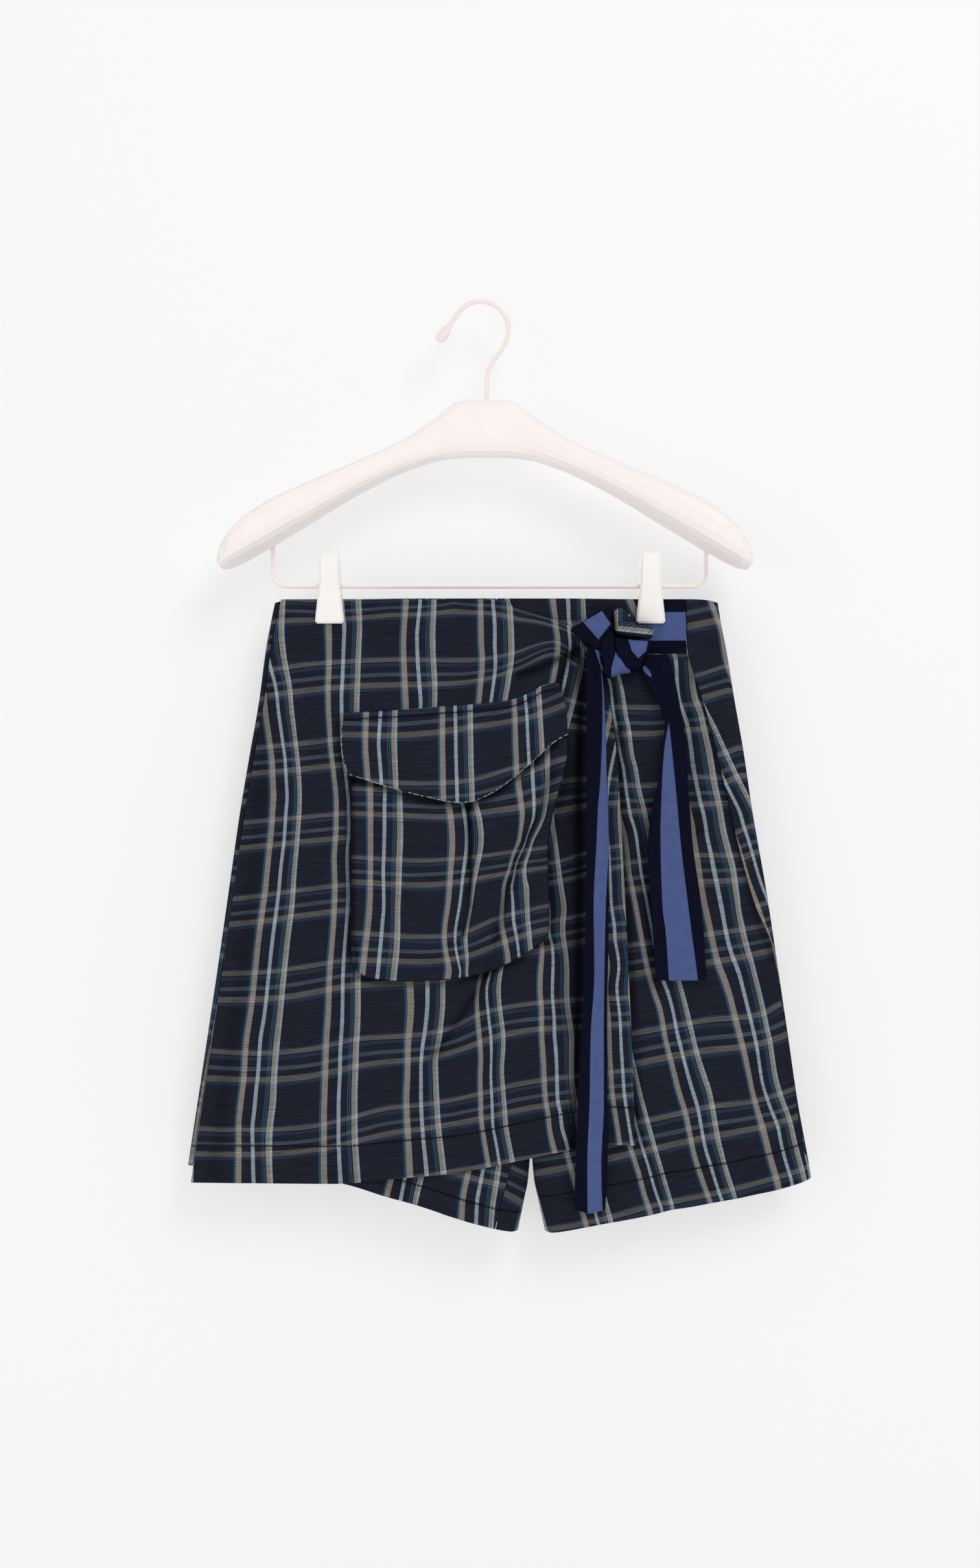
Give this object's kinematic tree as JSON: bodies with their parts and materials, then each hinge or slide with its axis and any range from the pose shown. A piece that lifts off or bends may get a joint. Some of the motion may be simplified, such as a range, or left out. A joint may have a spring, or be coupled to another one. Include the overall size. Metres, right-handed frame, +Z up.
{
  "type": "skort on a clip hanger",
  "caption": "Plaid wrap-front skort with a cargo patch pocket and a knotted knit tie, hanging flat from the clips of a shaped hanger.",
  "frame": {"origin": "inner crown of the hanger's hook, where it rests on what carries it", "axes": "+Z up, the front of the skort faces -Y, +X to the right as seen from the front"},
  "size_m": [0.4802, 0.051, 0.7186],
  "materials": {
    "plaid_cloth": "soft woven plaid, navy with tan, pale blue and off-white lines",
    "knit_ribbon": "knit ribbon, periwinkle centre with navy borders",
    "cream_paint": "cream satin paint",
    "cream_wire": "cream coating",
    "cream_plastic": "smooth"
  },
  "bodies": {
    "root": {"shorts_front_left": "plaid_cloth", "shorts_front_right": "plaid_cloth", "shorts_back_left": "plaid_cloth", "shorts_back_right": "plaid_cloth", "wrap_panel": "plaid_cloth", "wrap_corner": "plaid_cloth", "pocket_patch": "plaid_cloth", "pocket_flap": "plaid_cloth", "tie_band": "knit_ribbon", "tie_knot": "knit_ribbon", "tie_tail_long": "knit_ribbon", "tie_tail_short": "knit_ribbon", "hanger_body": "cream_paint", "hanger_hook": "cream_wire", "hanger_bar": "cream_wire", "clip_left_front": "cream_plastic", "clip_left_back": "cream_plastic", "clip_right_front": "cream_plastic", "clip_right_back": "cream_plastic"}
  },
  "joints": []
}
